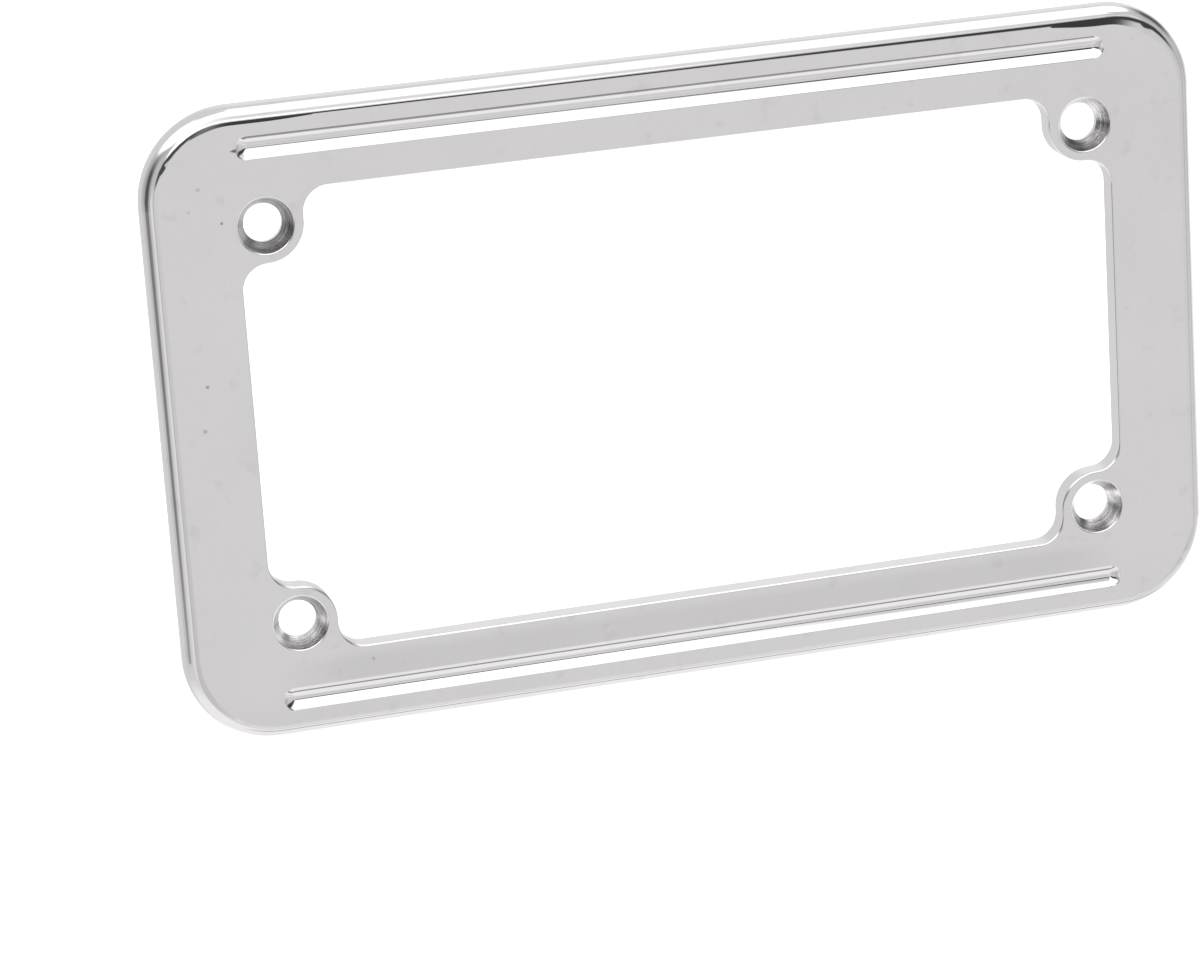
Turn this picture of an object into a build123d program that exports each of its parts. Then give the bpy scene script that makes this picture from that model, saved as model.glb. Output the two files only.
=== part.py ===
from build123d import *
import os

# Number plate frame for a motorcycle: one flat plate cut from solid aluminium,
# with a window for the plate's characters and a countersunk hole in each corner.
# Millimetres. X is the width, +Z is up and the front face looks along -Y.
# The origin is the centre of the hole pattern, on the back face that lies on the plate.

# Number plate that the frame holds
plate_width = 177.8
plate_height = 101.6
hole_inset = 15.875

# Outer form of the frame
plate_border = 4.7
frame_thickness = 4.0
outer_corner_radius = 16.0
front_roundover = 2.7
back_edge_break = 0.3

# Window
side_rail_width = 15.9
top_rail_width = 15.0
window_cutter_radius = 4.5
window_edge_break = 0.4

# Screw holes and the ear of metal round each one
hole_radius = 3.3
countersink_radius = 4.9
countersink_angle = 60.0
countersink_edge_break = 0.3
ear_wall = 1.7

# Decorative grooves, cut with a round tipped tool whose flanks bulge a little
groove_width = 4.0
groove_depth = 0.66
groove_tip_radius = 1.8
groove_tip_angle = 13.0
groove_edge_distance = 7.1
groove_end_distance = 16.5
groove_edge_break = 0.3

# Worked out from the sizes above
frame_width = plate_width + 2 * plate_border
frame_height = plate_height + 2 * plate_border
hole_spacing_x = plate_width - 2 * hole_inset
hole_spacing_z = plate_height - 2 * hole_inset
window_width = frame_width - 2 * side_rail_width
window_height = frame_height - 2 * top_rail_width
ear_radius = countersink_radius + ear_wall
hole_to_side_rail = (window_width - hole_spacing_x) / 2
hole_to_top_rail = (window_height - hole_spacing_z) / 2
groove_spacing = frame_height - 2 * groove_edge_distance
groove_tool_travel = frame_width - 2 * groove_end_distance - groove_width

back_plane = Plane.XZ
front_plane = Plane.XZ.offset(frame_thickness)

# Window outline: a rectangle, less an ear round each hole that joins both rails there.
# Its corners are as round as the cutter that goes along the inside leaves them.
with BuildSketch(back_plane) as window_outline:
    Rectangle(window_width, window_height)
    with GridLocations(hole_spacing_x, hole_spacing_z, 2, 2):
        Circle(ear_radius, mode=Mode.SUBTRACT)
    with GridLocations(window_width, window_height, 2, 2):
        Rectangle(
            2 * hole_to_side_rail,
            2 * (hole_to_top_rail + ear_radius),
            mode=Mode.SUBTRACT,
        )
        Rectangle(
            2 * (hole_to_side_rail + ear_radius),
            2 * hole_to_top_rail,
            mode=Mode.SUBTRACT,
        )
    offset(amount=-window_cutter_radius, kind=Kind.INTERSECTION)
    offset(amount=window_cutter_radius, kind=Kind.ARC)

# Half the section of a groove, with its edge at the height of the front face
with BuildLine() as groove_flank:
    tip = CenterArc(
        (0, groove_tip_radius - groove_depth), groove_tip_radius, -90, groove_tip_angle
    )
    TangentArc(tip @ 1, (groove_width / 2, 0), tangent=tip % 1)
    Polyline(
        (groove_width / 2, 0),
        (groove_width / 2, groove_depth),
        (0, groove_depth),
        (0, -groove_depth),
    )

# Round cutter, which stands at each end of a groove
with BuildPart() as groove_cutter:
    with BuildSketch(Plane.XZ):
        add(groove_flank.line)
        make_face()
    revolve(axis=Axis.Z)

# What the cutter clears as it goes along one groove
with BuildPart() as groove_tool:
    with BuildSketch(Plane.YZ):
        add(groove_flank.line)
        make_face()
        mirror(about=Plane.YZ)
    extrude(amount=groove_tool_travel / 2, both=True)
    with GridLocations(groove_tool_travel, 0, 2, 1):
        add(groove_cutter.part)

with BuildPart() as plate_frame:
    # Flat plate with rounded corners
    with BuildSketch(back_plane):
        RectangleRounded(frame_width, frame_height, outer_corner_radius)
    extrude(amount=frame_thickness)

    # The outer edge is rounded over at the front and broken at the back
    fillet(plate_frame.faces().sort_by(Axis.Y)[0].edges(), front_roundover)
    chamfer(plate_frame.faces().sort_by(Axis.Y)[-1].edges(), back_edge_break)

    # Window through the plate, with its front edge softened and its back edge broken
    extrude(window_outline.sketch, amount=frame_thickness, mode=Mode.SUBTRACT)
    fillet(plate_frame.edges(Select.LAST).group_by(Axis.Y)[0], window_edge_break)
    back_face = plate_frame.faces().sort_by(Axis.Y)[-1]
    chamfer(back_face.inner_wires()[0].edges(), back_edge_break)

    # Screw holes, countersunk from the front and broken at the back
    with Locations(front_plane):
        with GridLocations(hole_spacing_x, hole_spacing_z, 2, 2):
            CounterSinkHole(
                hole_radius, countersink_radius, counter_sink_angle=countersink_angle
            )
    hole_edges = plate_frame.edges(Select.LAST).group_by(Axis.Y)
    fillet(hole_edges[0], countersink_edge_break)
    chamfer(hole_edges[-1], back_edge_break)

    # A groove along the top rail and another along the bottom rail
    with Locations(front_plane):
        with GridLocations(0, groove_spacing, 1, 2):
            add(groove_tool.part, mode=Mode.SUBTRACT)
    fillet(plate_frame.edges(Select.LAST).group_by(Axis.Y)[0], groove_edge_break)

plate_frame.part.label = "plate_frame"

os.makedirs("parts", exist_ok=True)
export_step(plate_frame.part, "parts/plate_frame.step")
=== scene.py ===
import math
from collections import namedtuple

import bmesh
import bpy
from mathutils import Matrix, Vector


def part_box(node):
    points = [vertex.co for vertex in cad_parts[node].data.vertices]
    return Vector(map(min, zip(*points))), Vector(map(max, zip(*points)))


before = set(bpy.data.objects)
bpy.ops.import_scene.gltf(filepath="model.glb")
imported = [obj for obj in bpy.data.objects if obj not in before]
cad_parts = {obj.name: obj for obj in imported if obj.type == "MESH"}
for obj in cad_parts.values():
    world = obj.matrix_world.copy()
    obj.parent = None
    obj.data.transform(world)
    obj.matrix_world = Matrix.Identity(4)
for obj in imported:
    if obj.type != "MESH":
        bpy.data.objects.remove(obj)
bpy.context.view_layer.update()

# Metres, in the frame of the part: X is the width, +Z is up and the front looks along -Y
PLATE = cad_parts["plate_frame"]
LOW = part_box("plate_frame")[0]
MM = 0.001

# Camera, at the viewing angle of the photograph and with its slight roll
CAMERA_PLACE = (-0.1996, -0.7018, 0.19385)
CAMERA_TURN = (73.645, 3.695, -15.628)
SENSOR_WIDTH = 36.0
LENS = 130.19

# Floor and room
FLOOR_SIZE = 12.0
FLOOR_GAP = 12 * MM
FLOOR_COLOUR = (0.95, 0.95, 0.95, 1)
ROOM_COLOUR = (1, 1, 1, 1)
ROOM_BRIGHTNESS = 1.7

# Light tent that only the polish reflects. A card is a soft-edged patch on it: azimuth (0 is in front
# of the part, 90 to its right) and elevation of its middle, half its width and height, roll, all in
# degrees, then the softness of its edge and its brightness. Later cards lie over earlier ones.
TENT_RADIUS = 6.0
TENT_SUBDIVISIONS = 4
TENT_BRIGHTNESS = 0.78
CARD_SQUARENESS = 4.0
Card = namedtuple("Card", "azimuth elevation half_width half_height roll softness brightness")
TENT_CARDS = {
    "floor_glow": Card(0, -68, 200, 32, 0, 0.30, 1.03),
    "low_front_line": Card(15, -23, 32, 2.5, 0, 0.6, 0.62),
    "low_front_band": Card(22, -43, 36, 3, 4, 0.6, 0.76),
    "low_front_stripe": Card(30, -58, 44, 2.7, 11, 0.5, 0.33),
    "low_left_grey": Card(-14, -27, 13, 14, 0, 0.5, 0.66),
    "low_back_light": Card(146, -42, 56, 24, 0, 0.25, 1.40),
    "left_back_grey": Card(-168, -22, 28, 24, 0, 0.3, 0.78),
    "right_back_light": Card(119, -2, 27, 13, 0, 0.2, 1.40),
    "right_back_glow": Card(152, 30, 26, 24, 0, 0.5, 0.92),
    "left_grey": Card(-66, 11, 46, 22, 0, 0.4, 0.47),
    "left_pale": Card(-34, 5, 12, 18, 0, 0.4, 0.62),
    "left_dark": Card(-70, 5, 14, 21, 0, 0.5, 0.11),
    "left_low_dark": Card(-71, -13, 9, 5, 0, 0.6, 0.25),
    "left_near_glow": Card(-33, -15, 8, 12, 0, 0.5, 0.88),
    "left_near_line": Card(-22, -17, 2, 16, 0, 0.6, 0.50),
    "left_far_line": Card(-94, -14, 3, 10, 0, 0.6, 0.55),
    "right_grey": Card(75, 16, 42, 27, 0, 0.5, 0.60),
    "right_dark": Card(101, 29, 20, 12, 0, 0.6, 0.13),
    "top_light": Card(15, 60, 115, 19, 6, 0.12, 1.45),
    "top_left_light": Card(-50, 49.5, 46, 16, -16, 0.15, 1.45),
    "front_light": Card(-2, 32, 20, 27, 0, 0.08, 1.45),
    "front_right_light": Card(22, 34, 12, 18, 0, 0.12, 1.45),
    "front_left_dark": Card(-8, 1.2, 13.5, 5.8, 0, 0.30, 0.08),
    "front_middle_dark": Card(14, 1.0, 9, 2.5, 8, 0.4, 0.05),
    "front_rising_dark": Card(24.5, 6.0, 8.5, 5.5, 33, 0.35, 0.05),
    "front_right_dark": Card(40, 10.5, 15, 8.5, 0, 0.35, 0.06),
    "right_near_line": Card(57, -10, 2.5, 16, 0, 0.6, 0.50),
    "right_far_line": Card(86, -6, 2.5, 10, 0, 0.6, 0.45),
    "front_right_soft": Card(38, 28, 12, 6, 0, 0.5, 0.92),
}

# In pairs of numbers from here on, something begins at the first and is complete at the second

# Polished aluminium: colour and shine, clouds in both, and fine grain and faint smudges in the colour
METAL_COLOUR = (0.802, 0.785, 0.795)
METAL_ROUGHNESS = 0.04
CLOUD_SCALE = 70.0
CLOUD_CONTRAST = 0.07
CLOUD_ROUGHNESS = 0.03
GRAIN_SCALE = 900.0
GRAIN_CONTRAST = 0.04
SMUDGE_SCALE = 230.0
SMUDGE_RANGE = (0.60, 0.72)
SMUDGE_SHADE = 0.945

# Countersinks, left as the cutter made them, with turning marks
HOLE_X = 73.025 * MM
HOLE_Z = 34.925 * MM
CONE_OUTER = (4.80 * MM, 4.70 * MM)
CONE_INNER = (3.30 * MM, 3.36 * MM)
CONE_ROUGHNESS = 0.14
MARK_SCALE = 130.0
MARK_DETAIL = 4.0
MARK_ROUGHNESS = 0.7
MARK_CLOSENESS = 30.0
MARK_RANGE = (0.32, 0.70)
MARK_CONTRAST = 0.45
MARK_HEIGHT = 0.04 * MM

# How dark each countersink is painted overall, and its patches of painted shade and painted highlight,
# which stand in for how the cone reflects the light: where a patch is round the axis and half its
# width, in degrees from the right and over the top, and how much darker or brighter it is. The two
# on the left are painted darker overall.
Patch = namedtuple("Patch", "angle half_width shade")
TOP_LEFT_CONE_PAINTED_LIGHT = (0.41, (Patch(130, 75, 0.55),))
TOP_RIGHT_CONE_PAINTED_LIGHT = (
    1.0,
    (Patch(12, 26, 1.35), Patch(105, 50, 0.45), Patch(230, 52, 0.20), Patch(345, 12, 0.60)),
)
BOTTOM_LEFT_CONE_PAINTED_LIGHT = (0.45, (Patch(90, 50, 0.65), Patch(155, 40, 0.55), Patch(285, 75, 2.8)))
BOTTOM_RIGHT_CONE_PAINTED_LIGHT = (1.0, (Patch(2, 26, 1.35), Patch(66, 32, 0.35), Patch(212, 36, 0.28)))

# How deep the front goes, with its rounded edge, for the marks and the painted reflection that are on
# the front alone
FRONT_DEPTH = 0.5 * MM

# Centres of the rounded top corners, and how far the flat face goes from them
CORNER_X = 77.6 * MM
CORNER_Z = 39.5 * MM
FACE_RADIUS = 13.3 * MM

# Fine darker line along the rounded top edge, by its distance from the corners
TOP_LINE_RADIUS = 14.2 * MM
TOP_LINE_HALF_WIDTH = 0.25 * MM
TOP_LINE_ENDS = (86 * MM, 76 * MM)
TOP_LINE_FOOT = (46 * MM, 50 * MM)
TOP_LINE_SHADE = 0.60

# Painted reflection along the bottom rail, above its groove: a slightly darker band in the colour
PAINTED_REFLECTION_Z = -44.5 * MM
PAINTED_REFLECTION_HALF_WIDTH = 2.4 * MM
PAINTED_REFLECTION_ENDS = (80 * MM, 64 * MM)
PAINTED_REFLECTION_SHADE = 0.92

# Where the buffing let the face roll off a little before the rounded edge, at the two top corners:
# from where to where beside the middle of the part, how wide, and its tilt
RollOff = namedtuple("RollOff", "start end width tilt")
LEFT_ROLL_OFF = RollOff(62 * MM, 86 * MM, 0.45 * MM, 0.100)
RIGHT_ROLL_OFF = RollOff(66 * MM, 89 * MM, 0.90 * MM, 0.105)
ROLL_OFF_ONSET = (-0.1 * MM, 0.2 * MM)
ROLL_OFF_WIDENING = (-4 * MM, 10 * MM)
ROLL_OFF_NARROWING = (-2 * MM, 5 * MM)
ROLL_OFF_TIP = (0.0, 2 * MM)

# Small marks in the polished face, in millimetres: place, radius and how dark the middle is
Speck = namedtuple("Speck", "x z radius shade")
SPECKS = (
    Speck(-83.9, 42.3, 0.40, 0.80),
    Speck(-85.8, 38.7, 0.30, 0.82),
    Speck(-80.4, 36.2, 0.28, 0.45),
    Speck(-85.3, 8.6, 0.35, 0.55),
    Speck(-86.4, 1.0, 0.40, 0.70),
    Speck(-60.9, -43.2, 0.35, 0.75),
    Speck(-77.80, 48.1, 0.15, 0.40),
    Speck(-77.50, 48.1, 0.24, 0.30),
    Speck(-77.15, 48.1, 0.34, 0.25),
)


class Nodes:
    """Short ways to build a node tree."""

    def __init__(self, tree):
        self.tree = tree

    def add(self, kind, inputs=(), **settings):
        """Adds a node, sets its properties, then its inputs by name: a value, or an output to link."""
        made = self.tree.nodes.new(kind)
        for key, value in settings.items():
            setattr(made, key, value)
        for key, value in dict(inputs).items():
            self.feed(made.inputs[key], value)
        return made

    def feed(self, socket, value):
        if isinstance(value, bpy.types.NodeSocket):
            self.tree.links.new(value, socket)
        else:
            socket.default_value = value

    def math(self, operation, *values):
        inputs = dict(enumerate(values))
        return self.add("ShaderNodeMath", inputs, operation=operation).outputs[0]

    def vector(self, operation, inputs):
        return self.add("ShaderNodeVectorMath", inputs, operation=operation).outputs[0]

    def times(self, product, *values):
        """All the values multiplied."""
        for value in values:
            product = self.math("MULTIPLY", product, value)
        return product

    def ramp(self, value, start, end, low=0.0, high=1.0):
        """low at start, high at end, with a smooth change between them."""
        inputs = {"Value": value, "From Min": start, "From Max": end, "To Min": low, "To Max": high}
        made = self.add("ShaderNodeMapRange", inputs, interpolation_type="SMOOTHSTEP")
        return made.outputs["Result"]

    def band(self, value, middle, half_width):
        """1 near the middle, fading to 0 at one and a half times the half width."""
        distance = self.math("ABSOLUTE", self.math("SUBTRACT", value, middle))
        return self.ramp(distance, half_width * 1.5, half_width * 0.5)

    def mix(self, factor, low, high):
        """low where the factor is 0 and high where it is 1."""
        return self.math("MULTIPLY_ADD", factor, self.math("SUBTRACT", high, low), low)

    def shaded(self, shade, mask, change):
        """The shade, made darker or brighter where the mask is 1."""
        return self.times(self.mix(mask, 1.0, change), shade)

    def split(self, vector):
        return self.add("ShaderNodeSeparateXYZ", {"Vector": vector}).outputs

    def join(self, x, y, z):
        return self.add("ShaderNodeCombineXYZ", {"X": x, "Y": y, "Z": z}).outputs[0]

    def place(self):
        return self.add("ShaderNodeTexCoord").outputs["Object"]

    def noise(self, vector, scale, detail, roughness=0.5):
        inputs = {"Vector": vector, "Scale": scale, "Detail": detail, "Roughness": roughness}
        return self.add("ShaderNodeTexNoise", inputs).outputs[0]

    def length(self, x, z):
        return self.math("SQRT", self.math("MULTIPLY_ADD", x, x, self.math("MULTIPLY", z, z)))

    def turned_from(self, angle, degrees):
        """The angle less so many degrees, between half a turn each way."""
        away = self.math("SUBTRACT", angle, math.radians(degrees))
        return self.math("WRAP", away, -math.pi, math.pi)


def new_material(name):
    """A material with an empty node tree, and its output."""
    material = bpy.data.materials.new(name)
    material.use_nodes = True
    material.node_tree.nodes.clear()
    output = material.node_tree.nodes.new("ShaderNodeOutputMaterial")
    return material, Nodes(material.node_tree), output.inputs["Surface"]


def stage_object(name, shape, material):
    """An object of the studio, made from a bmesh."""
    mesh = bpy.data.meshes.new(name)
    shape.to_mesh(mesh)
    shape.free()
    mesh.materials.append(material)
    made = bpy.data.objects.new(name, mesh)
    bpy.context.scene.collection.objects.link(made)
    return made


def card_mask(nodes, azimuth, elevation, card):
    """1 inside a card on the tent and 0 outside it, with a soft edge and rounded corners."""
    x = nodes.turned_from(azimuth, card.azimuth)
    y = nodes.math("SUBTRACT", elevation, math.radians(card.elevation))
    cosine = math.cos(math.radians(card.roll))
    sine = math.sin(math.radians(card.roll))
    along = nodes.math("MULTIPLY_ADD", x, cosine, nodes.math("MULTIPLY", y, sine))
    across = nodes.math("MULTIPLY_ADD", y, cosine, nodes.math("MULTIPLY", x, -sine))
    along = nodes.math("DIVIDE", along, math.radians(card.half_width))
    across = nodes.math("DIVIDE", across, math.radians(card.half_height))
    along = nodes.math("POWER", nodes.math("ABSOLUTE", along), CARD_SQUARENESS)
    across = nodes.math("POWER", nodes.math("ABSOLUTE", across), CARD_SQUARENESS)
    reach = nodes.math("POWER", nodes.math("ADD", along, across), 1 / CARD_SQUARENESS)
    return nodes.ramp(reach, 1 + card.softness, 1 - card.softness)


def tent_light():
    """What each direction of the tent gives off."""
    material, nodes, surface = new_material("light_tent")
    x, y, z = nodes.split(nodes.vector("NORMALIZE", {0: nodes.place()}))
    azimuth = nodes.math("ARCTAN2", x, nodes.math("MULTIPLY", y, -1.0))
    elevation = nodes.math("ARCSINE", z)
    brightness = TENT_BRIGHTNESS
    for card in TENT_CARDS.values():
        mask = card_mask(nodes, azimuth, elevation, card)
        brightness = nodes.mix(mask, brightness, card.brightness)
    glow = nodes.add("ShaderNodeEmission", {"Strength": brightness})
    nodes.feed(surface, glow.outputs[0])
    material.cycles.emission_sampling = "NONE"
    return material


def make_tent():
    """A large dome round the part, lit by soft patches. Only the polish of the part sees it."""
    shape = bmesh.new()
    bmesh.ops.create_icosphere(shape, subdivisions=TENT_SUBDIVISIONS, radius=TENT_RADIUS)
    tent = stage_object("light_tent", shape, tent_light())
    tent.visible_camera = False
    tent.visible_diffuse = False
    tent.visible_shadow = False
    tent.visible_transmission = False


def make_floor():
    """A plain pale floor, a little below the part, which hangs from its holes."""
    material, nodes, surface = new_material("pale_floor")
    nodes.feed(surface, nodes.add("ShaderNodeBsdfDiffuse", {"Color": FLOOR_COLOUR}).outputs[0])
    shape = bmesh.new()
    bmesh.ops.create_grid(shape, x_segments=1, y_segments=1, size=FLOOR_SIZE / 2)
    floor = stage_object("floor", shape, material)
    floor.location = (0, 0, LOW.z - FLOOR_GAP)
    floor.visible_glossy = False


def make_room():
    """Even white light from all round."""
    world = bpy.data.worlds.new("room")
    world.use_nodes = True
    background = world.node_tree.nodes["Background"]
    background.inputs["Color"].default_value = ROOM_COLOUR
    background.inputs["Strength"].default_value = ROOM_BRIGHTNESS
    bpy.context.scene.world = world
    bpy.context.scene.view_settings.view_transform = "Standard"


def make_camera():
    """The camera stands where the photographer stood."""
    data = bpy.data.cameras.new("camera")
    data.sensor_width = SENSOR_WIDTH
    data.lens = LENS
    camera = bpy.data.objects.new("camera", data)
    camera.location = CAMERA_PLACE
    camera.rotation_euler = [math.radians(turn) for turn in CAMERA_TURN]
    bpy.context.scene.collection.objects.link(camera)
    bpy.context.scene.camera = camera


def corner_distance(nodes, x, z):
    """How far a point is beyond the centres of the top corners, to the side and up, and in all."""
    beyond_x = nodes.math("MAXIMUM", nodes.math("SUBTRACT", nodes.math("ABSOLUTE", x), CORNER_X), 0.0)
    beyond_z = nodes.math("MAXIMUM", nodes.math("SUBTRACT", z, CORNER_Z), 0.0)
    radius = nodes.math("MAXIMUM", nodes.length(beyond_x, beyond_z), MM)
    return beyond_x, beyond_z, radius


def rolled_off_normal(nodes, x, z):
    """The surface normal, leaning outward a little along the edge of the two top corners."""
    beyond_x, beyond_z, radius = corner_distance(nodes, x, z)
    aside = nodes.math("ABSOLUTE", x)
    at_right = nodes.math("GREATER_THAN", x, 0.0)
    start, end, width, tilt = (
        nodes.mix(at_right, left, right) for left, right in zip(LEFT_ROLL_OFF, RIGHT_ROLL_OFF)
    )
    past_start = nodes.math("SUBTRACT", aside, start)
    before_end = nodes.math("SUBTRACT", end, aside)

    # It is widest in the middle and comes to a point at both ends
    widening = nodes.ramp(past_start, *ROLL_OFF_WIDENING)
    narrowing = nodes.ramp(before_end, *ROLL_OFF_NARROWING)
    reach = nodes.math("ADD", radius, nodes.times(width, widening, narrowing))
    onset = nodes.ramp(nodes.math("SUBTRACT", reach, FACE_RADIUS), *ROLL_OFF_ONSET)
    tips = nodes.times(nodes.ramp(past_start, *ROLL_OFF_TIP), nodes.ramp(before_end, *ROLL_OFF_TIP))

    # Where the rounded edge itself leans as much or more, it stays as it is
    normal = nodes.add("ShaderNodeNewGeometry").outputs["Normal"]
    normal_x, normal_y, normal_z = nodes.split(normal)
    wanted = nodes.times(onset, tips, nodes.math("LESS_THAN", normal_y, 0.0), tilt)
    lean = nodes.math("SUBTRACT", wanted, nodes.length(normal_x, normal_z))
    lean = nodes.math("DIVIDE", nodes.math("MAXIMUM", lean, 0.0), radius)
    outward_x = nodes.times(beyond_x, nodes.math("SIGN", x), lean)
    outward = nodes.join(outward_x, 0.0, nodes.times(beyond_z, lean))
    return nodes.vector("NORMALIZE", {0: nodes.vector("ADD", {0: normal, 1: outward})})


def polish_shade(nodes, place, clouds):
    """How light the polished metal is: clouds, grain, smudges, the marks on the front, and a painted
    darker reflection along the bottom rail.
    """
    x, y, z = nodes.split(place)
    aside = nodes.math("ABSOLUTE", x)
    grain = nodes.math("SUBTRACT", nodes.noise(place, GRAIN_SCALE, 2.0), 0.5)
    shade = nodes.math("MULTIPLY_ADD", clouds, CLOUD_CONTRAST, 1.0)
    shade = nodes.math("MULTIPLY_ADD", grain, GRAIN_CONTRAST, shade)
    smudges = nodes.ramp(nodes.noise(place, SMUDGE_SCALE, 3.0), *SMUDGE_RANGE)
    shade = nodes.shaded(shade, smudges, SMUDGE_SHADE)

    # Darker line along the top edge
    front = nodes.math("LESS_THAN", y, LOW.y + FRONT_DEPTH)
    line = nodes.band(corner_distance(nodes, x, z)[2], TOP_LINE_RADIUS, TOP_LINE_HALF_WIDTH)
    line = nodes.times(line, nodes.ramp(aside, *TOP_LINE_ENDS), nodes.ramp(z, *TOP_LINE_FOOT), front)
    shade = nodes.shaded(shade, line, TOP_LINE_SHADE)

    # Painted reflection: a darker band along the bottom rail
    painted_reflection = nodes.band(z, PAINTED_REFLECTION_Z, PAINTED_REFLECTION_HALF_WIDTH)
    painted_reflection = nodes.times(painted_reflection, nodes.ramp(aside, *PAINTED_REFLECTION_ENDS), front)
    shade = nodes.shaded(shade, painted_reflection, PAINTED_REFLECTION_SHADE)

    # Specks
    for speck in SPECKS:
        away_x = nodes.math("SUBTRACT", x, speck.x * MM)
        away_z = nodes.math("SUBTRACT", z, speck.z * MM)
        distance = nodes.length(away_x, away_z)
        spot = nodes.ramp(distance, speck.radius * 1.3 * MM, speck.radius * 0.4 * MM)
        shade = nodes.shaded(shade, nodes.times(spot, front), speck.shade)
    return shade


def painted_cone_light(nodes, angle, shade, patches):
    """Painted shade and highlights on a countersink at each angle round its axis."""
    for patch in patches:
        away = nodes.math("ABSOLUTE", nodes.turned_from(angle, patch.angle))
        half_width = math.radians(patch.half_width)
        mask = nodes.ramp(away, half_width * 1.4, half_width * 0.6)
        shade = nodes.shaded(shade, mask, patch.shade)
    return shade


def countersinks(nodes, x, z):
    """Where the countersinks are, how light they are painted there, and the turning marks in them."""
    # Distance to the axis of the nearest hole: the four holes are mirror images
    from_x = nodes.math("SUBTRACT", nodes.math("ABSOLUTE", x), HOLE_X)
    from_z = nodes.math("SUBTRACT", nodes.math("ABSOLUTE", z), HOLE_Z)
    from_axis = nodes.length(from_x, from_z)
    cone = nodes.times(nodes.ramp(from_axis, *CONE_OUTER), nodes.ramp(from_axis, *CONE_INNER))

    # The marks go round the axis and change slowly along them
    stretched = nodes.join(x, nodes.times(from_axis, MARK_CLOSENESS), z)
    marks = nodes.noise(stretched, MARK_SCALE, MARK_DETAIL, MARK_ROUGHNESS)
    streaks = nodes.ramp(marks, *MARK_RANGE, 1 - MARK_CONTRAST, 1 + MARK_CONTRAST)

    # Painted shade and highlights of the nearest countersink here
    beside = nodes.times(from_x, nodes.math("SIGN", x))
    above = nodes.times(from_z, nodes.math("SIGN", z))
    angle = nodes.math("ARCTAN2", above, beside)
    top_left, top_right, bottom_left, bottom_right = (
        painted_cone_light(nodes, angle, *painted_light)
        for painted_light in (TOP_LEFT_CONE_PAINTED_LIGHT, TOP_RIGHT_CONE_PAINTED_LIGHT, BOTTOM_LEFT_CONE_PAINTED_LIGHT, BOTTOM_RIGHT_CONE_PAINTED_LIGHT)
    )
    at_top = nodes.math("GREATER_THAN", z, 0.0)
    at_right = nodes.math("GREATER_THAN", x, 0.0)
    left = nodes.mix(at_top, bottom_left, top_left)
    right = nodes.mix(at_top, bottom_right, top_right)
    return cone, nodes.times(nodes.mix(at_right, left, right), streaks), marks


def polished_aluminium():
    """Mirror polish with faint clouds, marks and a painted reflection, and countersinks left as
    machined, with painted shade and highlights.
    """
    material, nodes, surface = new_material("polished_aluminium")
    place = nodes.place()
    x, y, z = nodes.split(place)
    clouds = nodes.math("SUBTRACT", nodes.noise(place, CLOUD_SCALE, 3.0), 0.5)
    # The countersinks carry painted shade and highlights along with their real turning marks
    cone, cone_painted_light_and_marks, marks = countersinks(nodes, x, z)
    shade = nodes.mix(cone, polish_shade(nodes, place, clouds), cone_painted_light_and_marks)
    colour = nodes.vector("SCALE", {0: METAL_COLOUR, "Scale": shade})
    roughness = nodes.math("MULTIPLY_ADD", clouds, CLOUD_ROUGHNESS, METAL_ROUGHNESS)
    roughness = nodes.mix(cone, roughness, CONE_ROUGHNESS)
    relief = {
        "Height": marks,
        "Strength": cone,
        "Distance": MARK_HEIGHT,
        "Normal": rolled_off_normal(nodes, x, z),
    }
    bump = nodes.add("ShaderNodeBump", relief)
    metal = {"Base Color": colour, "Metallic": 1.0, "Roughness": roughness, "Normal": bump.outputs[0]}
    nodes.feed(surface, nodes.add("ShaderNodeBsdfPrincipled", metal).outputs[0])
    return material


make_camera()
make_floor()
make_room()
make_tent()
polish = polished_aluminium()
for slot in PLATE.material_slots:
    slot.material = polish
